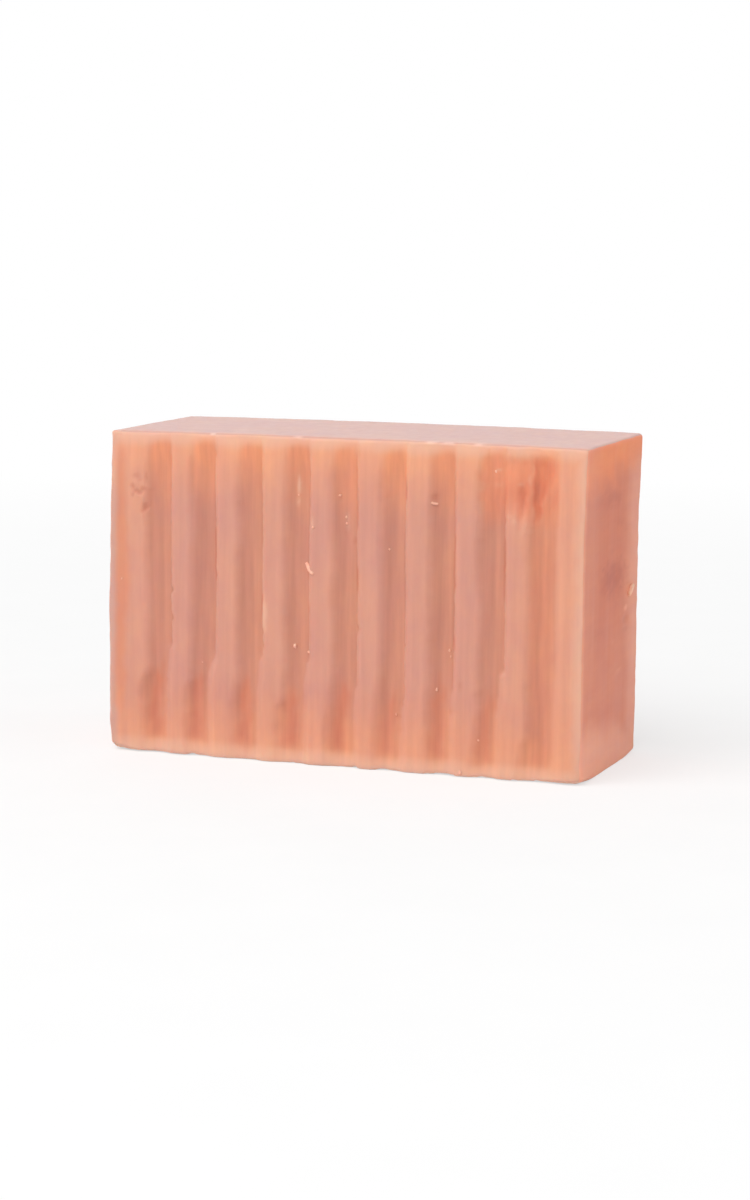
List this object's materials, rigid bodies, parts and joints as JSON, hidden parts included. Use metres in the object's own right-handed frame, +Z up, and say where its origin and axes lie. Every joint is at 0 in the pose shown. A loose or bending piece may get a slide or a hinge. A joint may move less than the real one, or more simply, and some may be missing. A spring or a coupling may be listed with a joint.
{
  "type": "shampoo bar",
  "caption": "Hand-cut block of solid soap with wavy-cut front and back faces and flat ends, base and top, standing on its long narrow side.",
  "frame": {"origin": "middle of the footprint, at the base that the bar stands on", "axes": "+X along the length, +Y through the thickness from the front wavy face to the back one, +Z up"},
  "size_m": [0.08, 0.0324, 0.052],
  "materials": {
    "soap": "satin"
  },
  "bodies": {
    "root": {"soap_bar": "soap"}
  },
  "joints": []
}
